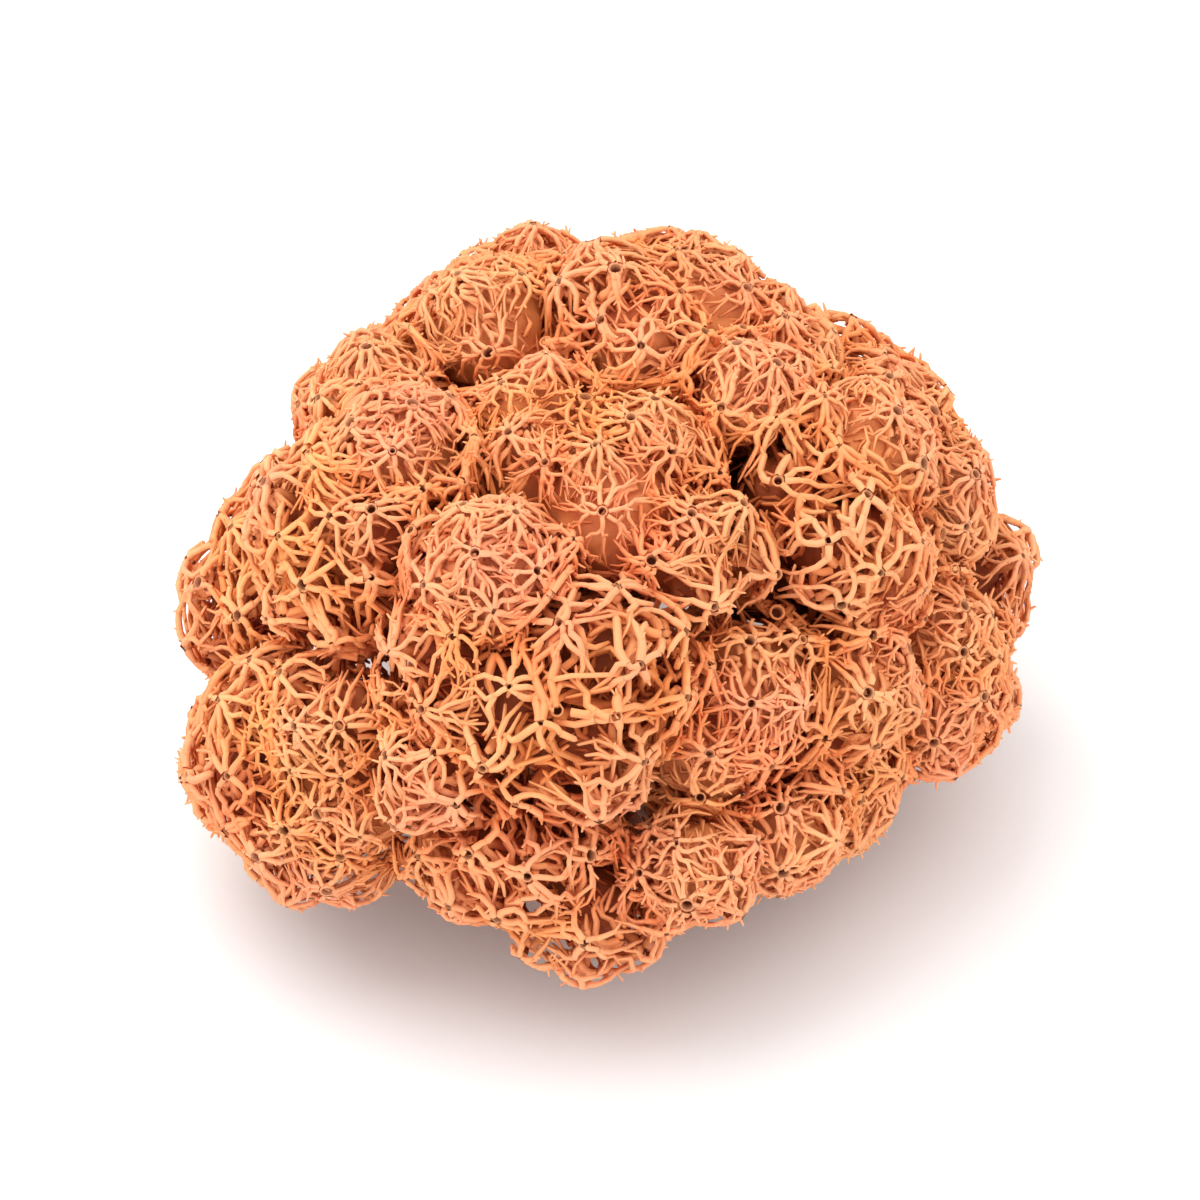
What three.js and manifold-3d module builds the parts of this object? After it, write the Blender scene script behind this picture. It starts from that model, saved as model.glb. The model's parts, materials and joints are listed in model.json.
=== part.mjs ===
// A clump of reindeer moss (the cushion lichen Cladonia stellaris), preserved and dyed apricot.
//
// The clump is a tuft of podetia, the upright branching bodies of the lichen. Each podetium is one
// solid: a stalk that stands on the ground at the middle of the tuft, forks that fan out from its
// top, and a crown of round lobes set all over with short pointed prongs. The crowns press against
// each other and close into a cauliflower dome over the bare stalks. Units are millimetres, +Z is
// up, and the origin is the middle of the cut ends that the clump stands on.

import * as THREE from "three";
import { mergeVertices } from "three/addons/utils/BufferGeometryUtils.js";
import Module from "manifold-3d";

const wasm = await Module();
wasm.setup();

// Driving dimensions of the dome, measured to the middles of the lobes
const DOME_REACH_X = 24;
const DOME_REACH_Y = 21;
const DOME_RISE = 21.8;
const BELLY_HEIGHT = 13.5;
const DOME_LOWEST = -0.22;

// Podetia, spread over the dome in sunflower order from its top down
const PODETIUM_COUNT = 14;
const CROWN_DEPTH = 4.5;
const CROWN_DEPTH_JITTER = 1.3;
const CROWN_TURN_JITTER = 0.12;
const FIRST_TURN = 4.3;

// Stalks, from the one in the middle to those at the edge of the tuft
const STAND_REACH = 8.2;
const STALK_RADIUS = 1.25;
const STALK_TOP_RADIUS = 1.05;
const LOWEST_BEND = 6;
const HIGHEST_BEND = 15;

// Lobes, the round tufts that cover the dome and that the crowns share out among them
const LOBE_COUNT = 80;
const LOBE_RADIUS = 4.2;
const LOBE_RADIUS_JITTER = 0.13;
const LOBE_TURN_JITTER = 0.16;
const LOBE_GATHERING = 0.04;
const LOBE_DEPTH_JITTER = 1.5;
const CROWN_CORE_RADIUS = 3.2;
const CROWN_DETAIL = 4;

// Forks, the bare branches that fan out from the top of a stalk to the lowest lobes
const FORKS_PER_CROWN = 3;
const FORK_START_SHARE = 0.66;
const FORK_RADIUS = 0.85;
const FORK_END_RADIUS = 0.65;

// Prongs, the pointed ends of the finest twigs, where they show on the outside of the dome
const PRONG_PLACES_PER_LOBE = 54;
const PRONG_CAP_DEG = 120;
const PRONG_SPACING = 2.15;
const PRONG_REACH = 1.9;
const PRONG_ROOT_DEPTH = 1.6;
const PRONG_RADIUS = 0.62;
const PRONG_LEAN_DEG = 26;
const BURIED_SHARE = 1.05;
const OPEN_VIEW = 9;

// Clearance kept between neighbouring podetia
const NODE_GAP = 0.45;
const SETTLING_ROUNDS = 80;
const MOST_SWELLING = 1.2;

const SEED = 20639;
const GOLDEN_TURN = Math.PI * (3 - Math.sqrt(5));
const UP = new THREE.Vector3(0, 0, 1);

const MATERIAL = new THREE.MeshStandardMaterial({
  color: 0xf2a06a,
  roughness: 0.9,
  metalness: 0,
});

// Park and Miller's draw, which gives the same numbers in any language
let drawState = SEED;
function draw() {
  drawState = (drawState * 16807) % 2147483647;
  return drawState / 2147483647;
}

function jitter(amount) {
  return (2 * draw() - 1) * amount;
}

// Unit vectors spread evenly over the cap of a sphere round an axis, in sunflower order
function capDirections(axis, count, capDeg, phase) {
  const turn = new THREE.Quaternion().setFromUnitVectors(UP, axis);
  const capHeight = 1 - Math.cos(THREE.MathUtils.degToRad(capDeg));
  return Array.from({ length: count }, (_, index) => {
    const height = 1 - ((index + 0.5) / count) * capHeight;
    const angle = phase + index * GOLDEN_TURN;
    return towards(angle, height).applyQuaternion(turn);
  });
}

// The unit vector at an angle round +Z and with a given height
function towards(angle, height) {
  const width = Math.sqrt(1 - height * height);
  return new THREE.Vector3(width * Math.cos(angle), width * Math.sin(angle), height);
}

// The place on the dome of the lobes, or some depth under it, in a direction from its belly
function onDome(direction, depth) {
  return new THREE.Vector3(
    (DOME_REACH_X - depth) * direction.x,
    (DOME_REACH_Y - depth) * direction.y,
    (DOME_RISE - depth) * direction.z + BELLY_HEIGHT,
  );
}

// The direction of one place among some that are spread evenly over the dome from its top down
function sunflowerDirection(index, count, turn) {
  const height = 1 - ((index + 0.5) / count) * (1 - DOME_LOWEST);
  return towards(index * GOLDEN_TURN + turn, height);
}

// The podetia with the places of their stalks and crowns
function layOutPodetia() {
  return Array.from({ length: PODETIUM_COUNT }, (_, index) => {
    const turn = FIRST_TURN + jitter(CROWN_TURN_JITTER);
    const direction = sunflowerDirection(index, PODETIUM_COUNT, turn);
    const stand = index > 0 ? STAND_REACH * Math.sqrt((index + 1) / PODETIUM_COUNT) : 0;
    const sideways = Math.atan2(direction.y, direction.x);
    const foot = new THREE.Vector3(stand * Math.cos(sideways), stand * Math.sin(sideways), 0);
    const bend = foot.clone();
    bend.z = THREE.MathUtils.lerp(LOWEST_BEND, HIGHEST_BEND, Math.max(direction.z, 0));
    const depth = jitter(CROWN_DEPTH_JITTER);
    const crown = onDome(direction, CROWN_DEPTH + depth);
    const stalk = new THREE.QuadraticBezierCurve3(foot, bend, crown);
    return { name: `podetium_${index + 1}`, depth, crown, stalk, lobes: [], prongs: [] };
  });
}

// Spreads the lobes over the dome, each to the podetium whose crown is nearest
function shareOutLobes(podetia) {
  for (let index = 0; index < LOBE_COUNT; index += 1) {
    const direction = sunflowerDirection(index, LOBE_COUNT, jitter(LOBE_TURN_JITTER));
    const place = onDome(direction, 0);
    const byDistance = (a, b) => a.crown.distanceTo(place) - b.crown.distanceTo(place);
    const nearest = [...podetia].sort(byDistance)[0];
    const centre = onDome(direction, nearest.depth + jitter(LOBE_DEPTH_JITTER));
    centre.lerp(nearest.crown, LOBE_GATHERING);
    nearest.lobes.push({ centre, radius: LOBE_RADIUS * (1 + jitter(LOBE_RADIUS_JITTER)) });
  }
}

// Lobes of different podetia push each other apart until the gap between them is free
function settleLobes(podetia) {
  for (let round = 0; round < SETTLING_ROUNDS; round += 1) {
    podetia.forEach((mine, index) => {
      podetia.slice(index + 1).forEach((other) => {
        for (const a of mine.lobes) {
          for (const b of other.lobes) {
            const apart = b.centre.clone().sub(a.centre);
            const overlap = a.radius + b.radius + NODE_GAP - apart.length();
            if (overlap > 0) {
              apart.normalize();
              a.centre.addScaledVector(apart, -overlap / 2);
              b.centre.addScaledVector(apart, overlap / 2);
            }
          }
        }
      });
    });
  }
}

// Lobes swell into the room that their neighbours leave them
function swellLobes(podetia) {
  for (const podetium of podetia) {
    const foreign = podetia.filter((other) => other !== podetium).flatMap(({ lobes }) => lobes);
    for (const lobe of podetium.lobes) {
      const rooms = foreign.map((other) => other.centre.distanceTo(lobe.centre) - other.radius);
      const room = Math.min(...rooms) - NODE_GAP;
      lobe.radius = Math.max(lobe.radius, Math.min(room, lobe.radius * MOST_SWELLING));
    }
  }
}

// A three.js geometry as a manifold-3d solid
function solidOf(geometry) {
  const bare = geometry.clone();
  bare.deleteAttribute("normal");
  bare.deleteAttribute("uv");
  const merged = mergeVertices(bare, 1e-4);
  const indexed = merged.index ? merged : mergeVertices(merged.toNonIndexed(), 1e-4);
  return new wasm.Manifold(
    new wasm.Mesh({
      numProp: 3,
      vertProperties: new Float32Array(indexed.attributes.position.array),
      triVerts: new Uint32Array(indexed.index.array),
    }),
  );
}

// How far a ray from a crown's middle runs before it leaves the last of the crown's lobes
function crownReach(podetium, direction) {
  let reach = CROWN_CORE_RADIUS;
  for (const lobe of podetium.lobes) {
    const offset = lobe.centre.clone().sub(podetium.crown);
    const along = offset.dot(direction);
    const beside = offset.lengthSq() - along * along;
    if (beside < lobe.radius * lobe.radius) {
      reach = Math.max(reach, along + Math.sqrt(lobe.radius * lobe.radius - beside));
    }
  }
  return reach;
}

// The lobed body of a crown: a ball whose surface is raised to the lobes
function crownSolid(podetium) {
  const geometry = new THREE.IcosahedronGeometry(1, CROWN_DETAIL);
  const places = geometry.attributes.position;
  for (let index = 0; index < places.count; index += 1) {
    const direction = new THREE.Vector3().fromBufferAttribute(places, index).normalize();
    const place = podetium.crown
      .clone()
      .addScaledVector(direction, crownReach(podetium, direction));
    places.setXYZ(index, place.x, place.y, place.z);
  }
  return solidOf(geometry);
}

// A round tube that follows a curve, with its own radius at each end and level end caps
function taperedTube(curve, startRadius, endRadius, sides, steps) {
  const geometry = new THREE.CylinderGeometry(endRadius, startRadius, 1, sides, steps);
  const places = geometry.attributes.position;
  for (let index = 0; index < places.count; index += 1) {
    const along = places.getY(index) + 0.5;
    const turn = new THREE.Quaternion().setFromUnitVectors(UP, curve.getTangent(along));
    const place = new THREE.Vector3(places.getX(index), -places.getZ(index), 0)
      .applyQuaternion(turn)
      .add(curve.getPoint(along));
    places.setXYZ(index, place.x, place.y, place.z);
  }
  return solidOf(geometry);
}

// A three-sided needle from a root to its point
function needle(root, point, radius) {
  const along = point.clone().sub(root);
  const geometry = new THREE.ConeGeometry(radius, along.length(), 3, 1);
  geometry.translate(0, along.length() / 2, 0);
  geometry.applyQuaternion(
    new THREE.Quaternion().setFromUnitVectors(new THREE.Vector3(0, 1, 0), along.normalize()),
  );
  geometry.translate(root.x, root.y, root.z);
  return solidOf(geometry);
}

// Whether nothing of the clump stands in front of a place for a way along its direction
function isOpen(place, direction, podetia) {
  const view = new THREE.Line3(
    place.clone().addScaledVector(direction, PRONG_REACH),
    place.clone().addScaledVector(direction, OPEN_VIEW),
  );
  const nearest = new THREE.Vector3();
  return podetia.every((podetium) =>
    podetium.lobes.every(({ centre, radius }) => {
      view.closestPointToPoint(centre, true, nearest);
      return nearest.distanceTo(centre) > radius;
    }),
  );
}

// Whether a prong stays clear of the bodies and the prongs of the other podetia
function isClear(prong, podetium, podetia) {
  const keepsOff = (solid) => prong.solid.minGap(solid, NODE_GAP) >= NODE_GAP;
  return podetia
    .filter((other) => other !== podetium)
    .every(
      (other) =>
        keepsOff(other.body) &&
        other.prongs
          .filter((theirs) => theirs.root.distanceTo(prong.root) < 3 * PRONG_REACH)
          .every((theirs) => keepsOff(theirs.solid)),
    );
}

// A direction that leans off another by an angle, to a side given by a turn round it
function leanOff(direction, angle, turn) {
  const side = new THREE.Vector3(0, 1, 0).cross(direction).normalize();
  return direction.clone().applyAxisAngle(side, angle).applyAxisAngle(direction, turn);
}

// A podetium without its prongs: the stalk, the forks and the lobed crown
function bareBody(podetium) {
  const forkStart = podetium.stalk.getPoint(FORK_START_SHARE);
  const lowestLobes = [...podetium.lobes]
    .sort((a, b) => a.centre.z - b.centre.z)
    .slice(0, FORKS_PER_CROWN);
  return wasm.Manifold.union([
    taperedTube(podetium.stalk, STALK_RADIUS, STALK_TOP_RADIUS, 7, 4),
    crownSolid(podetium),
    ...lowestLobes.map(({ centre }) =>
      taperedTube(new THREE.LineCurve3(forkStart, centre), FORK_RADIUS, FORK_END_RADIUS, 5, 1),
    ),
  ]);
}

// Sets a podetium's lobes with prongs, one beside the other, wherever they show
function growProngs(podetium, podetia) {
  const lean = THREE.MathUtils.degToRad(PRONG_LEAN_DEG);
  for (const lobe of podetium.lobes) {
    const outward = lobe.centre.clone().sub(podetium.crown).normalize();
    const phase = 2 * Math.PI * draw();
    for (const direction of capDirections(outward, PRONG_PLACES_PER_LOBE, PRONG_CAP_DEG, phase)) {
      const place = lobe.centre.clone().addScaledVector(direction, lobe.radius);
      const root = place.clone().addScaledVector(direction, -PRONG_ROOT_DEPTH);
      const pointing = leanOff(direction, lean * draw(), 2 * Math.PI * draw());
      const point = place.clone().addScaledVector(pointing, PRONG_REACH);
      const isBuried = podetium.lobes.some(
        (own) => own !== lobe && own.centre.distanceTo(place) < own.radius * BURIED_SHARE,
      );
      const hasRoom = podetia.every((other) =>
        other.prongs.every((theirs) => theirs.root.distanceTo(root) > PRONG_SPACING),
      );
      if (isBuried || !hasRoom || !isOpen(place, direction, podetia)) continue;
      const prong = { root, solid: needle(root, point, PRONG_RADIUS) };
      if (isClear(prong, podetium, podetia)) podetium.prongs.push(prong);
    }
  }
}

// A podetium with its prongs as one closed body, less any loose scrap and any hollow sealed inside
function wholeBody(podetium) {
  const bodies = wasm.Manifold.union([podetium.body, ...podetium.prongs.map(({ solid }) => solid)])
    .decompose()
    .filter((body) => body.volume() > 0);
  bodies.sort((a, b) => b.volume() - a.volume());
  return bodies[0];
}

function meshOf(solid, name) {
  const { vertProperties, triVerts, numProp } = solid.getMesh();
  const geometry = new THREE.BufferGeometry();
  const interleaved = new THREE.InterleavedBuffer(vertProperties, numProp);
  geometry.setAttribute("position", new THREE.InterleavedBufferAttribute(interleaved, 3, 0));
  geometry.setIndex(new THREE.BufferAttribute(triVerts, 1));
  const mesh = new THREE.Mesh(geometry.toNonIndexed(), MATERIAL.clone());
  mesh.geometry.computeVertexNormals();
  mesh.name = name;
  return mesh;
}

const podetia = layOutPodetia();
shareOutLobes(podetia);
settleLobes(podetia);
swellLobes(podetia);
for (const podetium of podetia) {
  podetium.body = bareBody(podetium);
}
for (const podetium of podetia) {
  growProngs(podetium, podetia);
}

const clump = new THREE.Group();
clump.name = "reindeer_moss_clump";
for (const podetium of podetia) {
  clump.add(meshOf(wholeBody(podetium), podetium.name));
}

export default clump;
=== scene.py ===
# %% [markdown]
# # A clump of reindeer moss
#
# Reindeer moss is a lichen, Cladonia stellaris. It grows as a tuft of podetia: upright bodies that
# fork again and again until every twig ends in a small star of pointed prongs. The stars close into
# round lobes, the lobes into crowns, and the crowns into a cauliflower dome over bare stalks. This
# clump has been preserved and dyed apricot.
#
# A ball with a bumpy material would pass for moss from afar only. From near, one looks in between
# the strands, so here every strand is a mesh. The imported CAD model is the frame: each of its podetia
# is one solid, and each is replaced by one finer mesh that keeps its stalk, its lobes and its reach.

# %% Load the frame
import json
import math

import bpy
import numpy as np
from mathutils import Vector, noise
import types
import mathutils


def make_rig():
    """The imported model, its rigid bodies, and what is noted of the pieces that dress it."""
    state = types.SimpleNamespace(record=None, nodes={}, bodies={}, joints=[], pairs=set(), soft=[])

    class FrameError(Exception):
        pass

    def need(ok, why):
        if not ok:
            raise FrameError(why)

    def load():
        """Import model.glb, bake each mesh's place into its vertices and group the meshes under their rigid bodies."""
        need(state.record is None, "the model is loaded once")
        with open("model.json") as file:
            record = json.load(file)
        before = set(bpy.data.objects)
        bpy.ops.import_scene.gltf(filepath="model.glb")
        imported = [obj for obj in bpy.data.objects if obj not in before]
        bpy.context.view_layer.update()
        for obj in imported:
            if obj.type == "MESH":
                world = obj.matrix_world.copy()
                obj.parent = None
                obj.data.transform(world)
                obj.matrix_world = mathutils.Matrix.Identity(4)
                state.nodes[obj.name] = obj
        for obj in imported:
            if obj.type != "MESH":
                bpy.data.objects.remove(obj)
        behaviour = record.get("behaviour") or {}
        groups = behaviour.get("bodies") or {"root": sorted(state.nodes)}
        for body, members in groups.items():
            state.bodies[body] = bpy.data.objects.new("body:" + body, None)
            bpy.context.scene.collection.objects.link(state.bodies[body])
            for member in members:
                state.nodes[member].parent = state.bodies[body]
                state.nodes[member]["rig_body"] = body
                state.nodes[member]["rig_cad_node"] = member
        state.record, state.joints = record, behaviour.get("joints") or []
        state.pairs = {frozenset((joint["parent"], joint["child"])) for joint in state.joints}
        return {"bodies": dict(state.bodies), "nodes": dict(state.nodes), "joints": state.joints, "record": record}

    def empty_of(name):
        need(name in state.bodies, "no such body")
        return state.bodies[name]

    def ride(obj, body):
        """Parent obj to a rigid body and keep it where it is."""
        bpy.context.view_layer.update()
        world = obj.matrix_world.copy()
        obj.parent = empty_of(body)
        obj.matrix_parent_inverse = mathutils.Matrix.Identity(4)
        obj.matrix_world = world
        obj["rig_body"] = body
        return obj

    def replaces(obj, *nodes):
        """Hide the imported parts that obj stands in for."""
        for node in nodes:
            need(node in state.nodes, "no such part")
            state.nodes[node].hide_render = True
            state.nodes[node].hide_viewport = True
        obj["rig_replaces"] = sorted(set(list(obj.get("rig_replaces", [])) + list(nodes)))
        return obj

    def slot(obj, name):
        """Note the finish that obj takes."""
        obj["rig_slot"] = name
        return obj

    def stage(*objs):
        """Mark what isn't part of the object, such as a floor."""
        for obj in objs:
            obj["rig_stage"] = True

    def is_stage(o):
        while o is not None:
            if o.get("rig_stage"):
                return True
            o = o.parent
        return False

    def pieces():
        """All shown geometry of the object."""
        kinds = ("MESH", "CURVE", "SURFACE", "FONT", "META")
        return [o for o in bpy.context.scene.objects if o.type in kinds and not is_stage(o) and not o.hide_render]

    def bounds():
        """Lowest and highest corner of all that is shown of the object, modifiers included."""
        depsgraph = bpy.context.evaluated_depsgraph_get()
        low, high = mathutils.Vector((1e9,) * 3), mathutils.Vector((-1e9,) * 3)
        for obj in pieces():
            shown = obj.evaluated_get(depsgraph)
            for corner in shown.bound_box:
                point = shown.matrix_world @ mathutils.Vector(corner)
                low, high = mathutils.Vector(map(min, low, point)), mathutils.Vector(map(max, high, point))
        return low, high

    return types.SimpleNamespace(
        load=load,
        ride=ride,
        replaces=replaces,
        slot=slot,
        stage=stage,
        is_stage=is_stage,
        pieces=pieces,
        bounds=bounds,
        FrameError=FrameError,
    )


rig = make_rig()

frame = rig.load()
cad_box = [list(corner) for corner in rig.bounds()]
print("podetia in the frame:", len(frame["nodes"]))

# %% [markdown]
# ## The places of stalks, crowns and lobes
#
# The fine meshes have to lie where the solids lie. So the same seeded rule is followed again, in
# millimetres: podetia in sunflower order down the dome, lobes in sunflower order too, each lobe given
# to the nearest crown. Lobes of different podetia then push each other apart and swell into the room
# that is left. Reading points off the solids would give the same places, but a rule says what grows
# where and why.

# %% Sizes of the dome and the seeded draw
SEED = 20639
DOME = (24.0, 21.0, 21.8)
BELLY_HEIGHT = 13.5
DOME_LOWEST = -0.22
PODETIUM_COUNT = 14
CROWN_DEPTH = 4.5
CROWN_DEPTH_JITTER = 1.3
CROWN_TURN_JITTER = 0.12
FIRST_TURN = 4.3
STAND_REACH = 8.2
LOWEST_BEND, HIGHEST_BEND = 6, 15
LOBE_COUNT = 80
LOBE_RADIUS = 4.2
LOBE_RADIUS_JITTER = 0.13
LOBE_TURN_JITTER = 0.16
LOBE_GATHERING = 0.04
LOBE_DEPTH_JITTER = 1.5
NODE_GAP = 0.45
SETTLING_ROUNDS = 80
MOST_SWELLING = 1.2
FULL_TURN = 2 * math.pi
GOLDEN_TURN = math.pi * (3 - math.sqrt(5))

draw_state = SEED


def draw():
    """Park and Miller's draw, which gives the same numbers as in the part's source."""
    global draw_state
    draw_state = draw_state * 16807 % 2147483647
    return draw_state / 2147483647


def jitter(amount):
    return (2 * draw() - 1) * amount


print("turn from one lobe to the next in degrees:", round(math.degrees(GOLDEN_TURN), 2))


# %% Lay out the podetia
def sunflower_direction(index, count, turn):
    height = 1 - (index + 0.5) / count * (1 - DOME_LOWEST)
    width = math.sqrt(1 - height * height)
    angle = index * GOLDEN_TURN + turn
    return np.array([width * math.cos(angle), width * math.sin(angle), height])


def on_dome(direction, depth):
    return (np.array(DOME) - depth) * direction + [0, 0, BELLY_HEIGHT]


podetia = []
for index in range(PODETIUM_COUNT):
    direction = sunflower_direction(index, PODETIUM_COUNT, FIRST_TURN + jitter(CROWN_TURN_JITTER))
    stand = STAND_REACH * math.sqrt((index + 1) / PODETIUM_COUNT) if index else 0
    sideways = math.atan2(direction[1], direction[0])
    foot = np.array([stand * math.cos(sideways), stand * math.sin(sideways), 0])
    bend_height = LOWEST_BEND + (HIGHEST_BEND - LOWEST_BEND) * max(direction[2], 0)
    depth = jitter(CROWN_DEPTH_JITTER)
    podetia.append({
        "name": f"podetium_{index + 1}",
        "depth": depth,
        "foot": foot,
        "bend": foot + [0, 0, bend_height],
        "crown": on_dome(direction, CROWN_DEPTH + depth),
        "lobes": [],
        "florets": [],
    })

for index in range(LOBE_COUNT):
    direction = sunflower_direction(index, LOBE_COUNT, jitter(LOBE_TURN_JITTER))
    place = on_dome(direction, 0)
    nearest = min(podetia, key=lambda podetium: np.linalg.norm(podetium["crown"] - place))
    centre = on_dome(direction, nearest["depth"] + jitter(LOBE_DEPTH_JITTER))
    centre = centre + (nearest["crown"] - centre) * LOBE_GATHERING
    radius = LOBE_RADIUS * (1 + jitter(LOBE_RADIUS_JITTER))
    nearest["lobes"].append({"centre": centre, "radius": radius})
print("lobes on each podetium:", [len(podetium["lobes"]) for podetium in podetia])


# %% Let the lobes of different podetia settle and swell
def settle(mine, other):
    for a in mine["lobes"]:
        for b in other["lobes"]:
            apart = b["centre"] - a["centre"]
            distance = math.sqrt(apart @ apart)
            overlap = a["radius"] + b["radius"] + NODE_GAP - distance
            if overlap > 0:
                push = apart * (overlap / 2 / distance)
                a["centre"] = a["centre"] - push
                b["centre"] = b["centre"] + push


for _ in range(SETTLING_ROUNDS):
    for index, mine in enumerate(podetia):
        for other in podetia[index + 1:]:
            settle(mine, other)

for podetium in podetia:
    foreign = [lobe for other in podetia if other is not podetium for lobe in other["lobes"]]
    for lobe in podetium["lobes"]:
        room = min(
            np.linalg.norm(other["centre"] - lobe["centre"]) - other["radius"] for other in foreign
        ) - NODE_GAP
        lobe["radius"] = max(lobe["radius"], min(room, lobe["radius"] * MOST_SWELLING))

all_lobes = [lobe for podetium in podetia for lobe in podetium["lobes"]]
lobe_centres = np.array([lobe["centre"] for lobe in all_lobes])
lobe_radii = np.array([lobe["radius"] for lobe in all_lobes])
print("lobe radii in mm:", lobe_radii.min().round(2), "to", lobe_radii.max().round(2))

# %% [markdown]
# ## Twigs as tubes
#
# Everything that grows here is a round, bent, tapering twig. Curve objects with a bevel could make
# them, but there are many thousand. So one function takes whole batches of twigs as arrays: the
# middles of their rings, the way each ring faces and each ring's radius. Every twig also gets a cell
# of its own in the UV map, so that a texture baked from the material has room for it.

# %% Directions and bends
NEARLY_UPRIGHT = 0.8


def unit(vectors):
    return vectors / np.maximum(np.linalg.norm(vectors, axis=-1, keepdims=True), 1e-9)


def sideways_of(vectors):
    """A unit vector square to each of the given ones."""
    leaning = np.abs(vectors[..., 2:3]) < NEARLY_UPRIGHT
    helper = np.where(leaning, [[0.0, 0.0, 1.0]], [[1.0, 0.0, 0.0]])
    return unit(np.cross(vectors, helper))


def bent(starts, start_ways, ends, end_ways, steps):
    """Points and directions along smooth bends, from starts to ends, for a batch of twigs."""
    s = np.asarray(steps)[None, :, None]
    length = np.linalg.norm(ends - starts, axis=1)[:, None, None]
    p0, p1 = starts[:, None], ends[:, None]
    m0, m1 = start_ways[:, None] * length, end_ways[:, None] * length
    points = (
        p0 * (2 * s**3 - 3 * s**2 + 1) + m0 * (s**3 - 2 * s**2 + s)
        + p1 * (3 * s**2 - 2 * s**3) + m1 * (s**3 - s**2)
    )
    ways = (
        p0 * (6 * s**2 - 6 * s) + m0 * (3 * s**2 - 4 * s + 1)
        + p1 * (6 * s - 6 * s**2) + m1 * (3 * s**2 - 2 * s)
    )
    return points, unit(ways)


corner_points, corner_ways = bent(
    np.zeros((1, 3)), np.array([[0, 0, 1.0]]), np.array([[1.0, 0, 1]]), np.array([[1.0, 0, 0]]),
    [0.5])
print("halfway round a corner of 1 mm:", corner_points.round(2), "facing", corner_ways.round(2))

# %% Batches of tubes
POINT_LENGTH = 1.2


def tube_faces(rings, sides):
    """The faces of a tube with a closing point, and where their corners lie in its UV cell."""
    ring, side = np.meshgrid(np.arange(rings - 1), np.arange(sides), indexing="ij")
    ring, side = ring.ravel(), side.ravel()
    after = (side + 1) % sides
    quads = np.stack([
        ring * sides + side, ring * sides + after,
        (ring + 1) * sides + after, (ring + 1) * sides + side,
    ], axis=1)
    quad_uv = np.stack([
        np.stack([side / sides, ring / rings], 1),
        np.stack([(side + 1) / sides, ring / rings], 1),
        np.stack([(side + 1) / sides, (ring + 1) / rings], 1),
        np.stack([side / sides, (ring + 1) / rings], 1),
    ], axis=1)
    side = np.arange(sides)
    last = (rings - 1) * sides
    fan = np.stack([last + side, last + (side + 1) % sides, np.full(sides, rings * sides)], axis=1)
    top = np.full(sides, (rings - 1) / rings)
    fan_uv = np.stack([
        np.stack([side / sides, top], 1),
        np.stack([(side + 1) / sides, top], 1),
        np.stack([(side + 0.5) / sides, np.ones(sides)], 1),
    ], axis=1)
    return {"quads": quads, "quad_uv": quad_uv, "fan": fan, "fan_uv": fan_uv}


def tube_batch(points, ways, radii, sides, tone, darkening=((0.0,),)):
    """Tubes with a closing point past their last ring, as arrays ready to be joined to others."""
    count, rings = points.shape[:2]
    u = sideways_of(unit(ways.mean(axis=1)))[:, None]
    u = unit(u - (u * ways).sum(-1, keepdims=True) * ways)
    v = np.cross(ways, u)
    turn = np.arange(sides) * FULL_TURN / sides
    spokes = (
        u[:, :, None] * np.cos(turn)[None, None, :, None]
        + v[:, :, None] * np.sin(turn)[None, None, :, None]
    )
    radii = np.broadcast_to(radii, (count, rings))
    walls = points[:, :, None] + spokes * radii[:, :, None, None]
    step = points[:, -1] - points[:, -2]
    tips = points[:, -1] + unit(step) * radii[:, -1:] * POINT_LENGTH
    darkening = np.broadcast_to(darkening, (count, rings))
    return {
        "verts": np.concatenate([walls.reshape(count, -1, 3), tips[:, None]], axis=1),
        "tone": np.broadcast_to(np.reshape(tone, (-1, 1)), (count, rings * sides + 1)),
        "darkening": np.concatenate([np.repeat(darkening, sides, axis=1), darkening[:, -1:]], axis=1),
        **tube_faces(rings, sides),
    }


example = tube_faces(4, 5)
print("faces of a tube with 4 rings of 5 sides:", len(example["quads"]) + len(example["fan"]))

# %% [markdown]
# ## The skin of the cushion
#
# The crowns grow together to one cushion: their lobes make soft mounds, and the valleys between them
# are partly filled. Metaballs could give that form as a mesh, but no mesh of it is wanted. What the
# strands need is an answer to two questions at any place: how far is it to the surface, and which way
# is out? A blend of the distances to all lobes answers both. A larger ball inside each crown is
# blended in as well, because the floor would show between lobes that stand apart.

# %% Blend the lobes
BLEND = 1.3
SKIN_SINK = 0.2
SKIN_ROUNDS = 3
FILL_RADIUS = 6.6
FILL_INWARD = 3.6
FILL_AIM = 0.62

crowns = np.array([podetium["crown"] for podetium in podetia])
from_axis = unit(crowns - np.array([0, 0, 1]) * (crowns[:, 2:] * FILL_AIM))
fill_centres = crowns - from_axis * FILL_INWARD
body_centres = np.vstack([lobe_centres, fill_centres])
body_radii = np.concatenate([lobe_radii - SKIN_SINK, np.full(len(fill_centres), FILL_RADIUS)])


def skin(points):
    """Distance in mm of points from the blended surface, and the way out of it."""
    away = points[:, None] - body_centres[None]
    gap = np.linalg.norm(away, axis=-1)
    weight = np.exp(-(gap - body_radii) / BLEND)
    outward = unit((away / gap[..., None] * weight[..., None]).sum(1))
    return -BLEND * np.log(weight.sum(1)), outward


def onto_skin(points, height):
    """Points moved along the way out of the skin until they lie at a height over it."""
    flat = points.reshape(-1, 3)
    height = np.broadcast_to(height, points.shape[:-1]).ravel()
    for _ in range(SKIN_ROUNDS):
        distance, outward = skin(flat)
        flat = flat + outward * (height - distance)[:, None]
    return flat.reshape(points.shape)


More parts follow.
